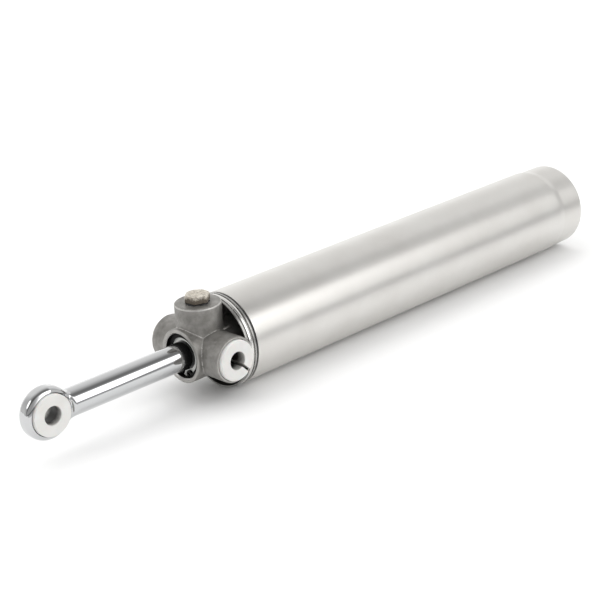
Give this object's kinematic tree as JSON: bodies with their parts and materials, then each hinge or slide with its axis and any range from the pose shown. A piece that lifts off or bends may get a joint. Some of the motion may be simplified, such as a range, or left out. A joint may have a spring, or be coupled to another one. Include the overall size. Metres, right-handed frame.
{
  "type": "pneumatic cylinder",
  "caption": "Air cylinder with a polished round barrel, trunnion bosses on the cast head, a plugged head port and a chromed rod with a bushed eye.",
  "frame": {"origin": "where the trunnion axis crosses the cylinder's axis", "axes": "+X the way the rod extends, +Y along the trunnion axis, +Z out of the head port boss"},
  "size_m": [0.5041, 0.0698, 0.0692],
  "materials": {
    "tube": "polished stainless",
    "casting": "bead blasted, machined collar",
    "cap": "machined",
    "chrome": "hard chromed and polished",
    "spring_steel": "bright",
    "zinc_steel": "zinc plated",
    "nylon": "natural nylon",
    "plug_plastic": "aged ivory plastic",
    "black_rubber": "glossy nitrile rubber",
    "seal_rubber": "polyurethane seal",
    "bronze": "sintered bronze",
    "wear_plastic": "acetal",
    "black_steel": "phosphated",
    "scraper_plastic": "moulded"
  },
  "bodies": {
    "barrel": {"barrel_tube": "tube", "head_casting": "casting", "head_gap_seal": "black_rubber", "head_spigot_oring": "black_rubber", "head_retaining_wire": "spring_steel", "head_stop_ring": "black_rubber", "port_plug": "plug_plastic", "port_plug_seal": "black_rubber", "trunnion_bush_left": "nylon", "trunnion_bush_right": "nylon", "gland_circlip": "black_steel", "rod_wiper": "scraper_plastic", "gland_washer": "zinc_steel", "rod_seal": "seal_rubber", "rod_guide_bush": "bronze", "rear_cap": "cap", "rear_cap_oring": "black_rubber", "rear_stop_ring": "black_rubber"},
    "piston_rings": {"piston_seal_front": "seal_rubber", "piston_seal_rear": "seal_rubber", "piston_wear_ring": "wear_plastic"},
    "rod": {"piston": "cap", "piston_oring": "black_rubber", "piston_washer": "zinc_steel", "piston_nut": "zinc_steel", "piston_rod": "chrome", "rod_eye": "chrome", "rod_eye_bush": "nylon"}
  },
  "joints": [
    {"name": "rod_slide", "type": "slide", "parent": "barrel", "child": "piston_rings", "axis": [1, 0, 0], "range_m": [0, 0.25]},
    {"name": "rod_turn", "type": "hinge", "parent": "piston_rings", "child": "rod", "pos_m": [0, 0, 0], "axis": [1, 0, 0], "continuous": true}
  ]
}
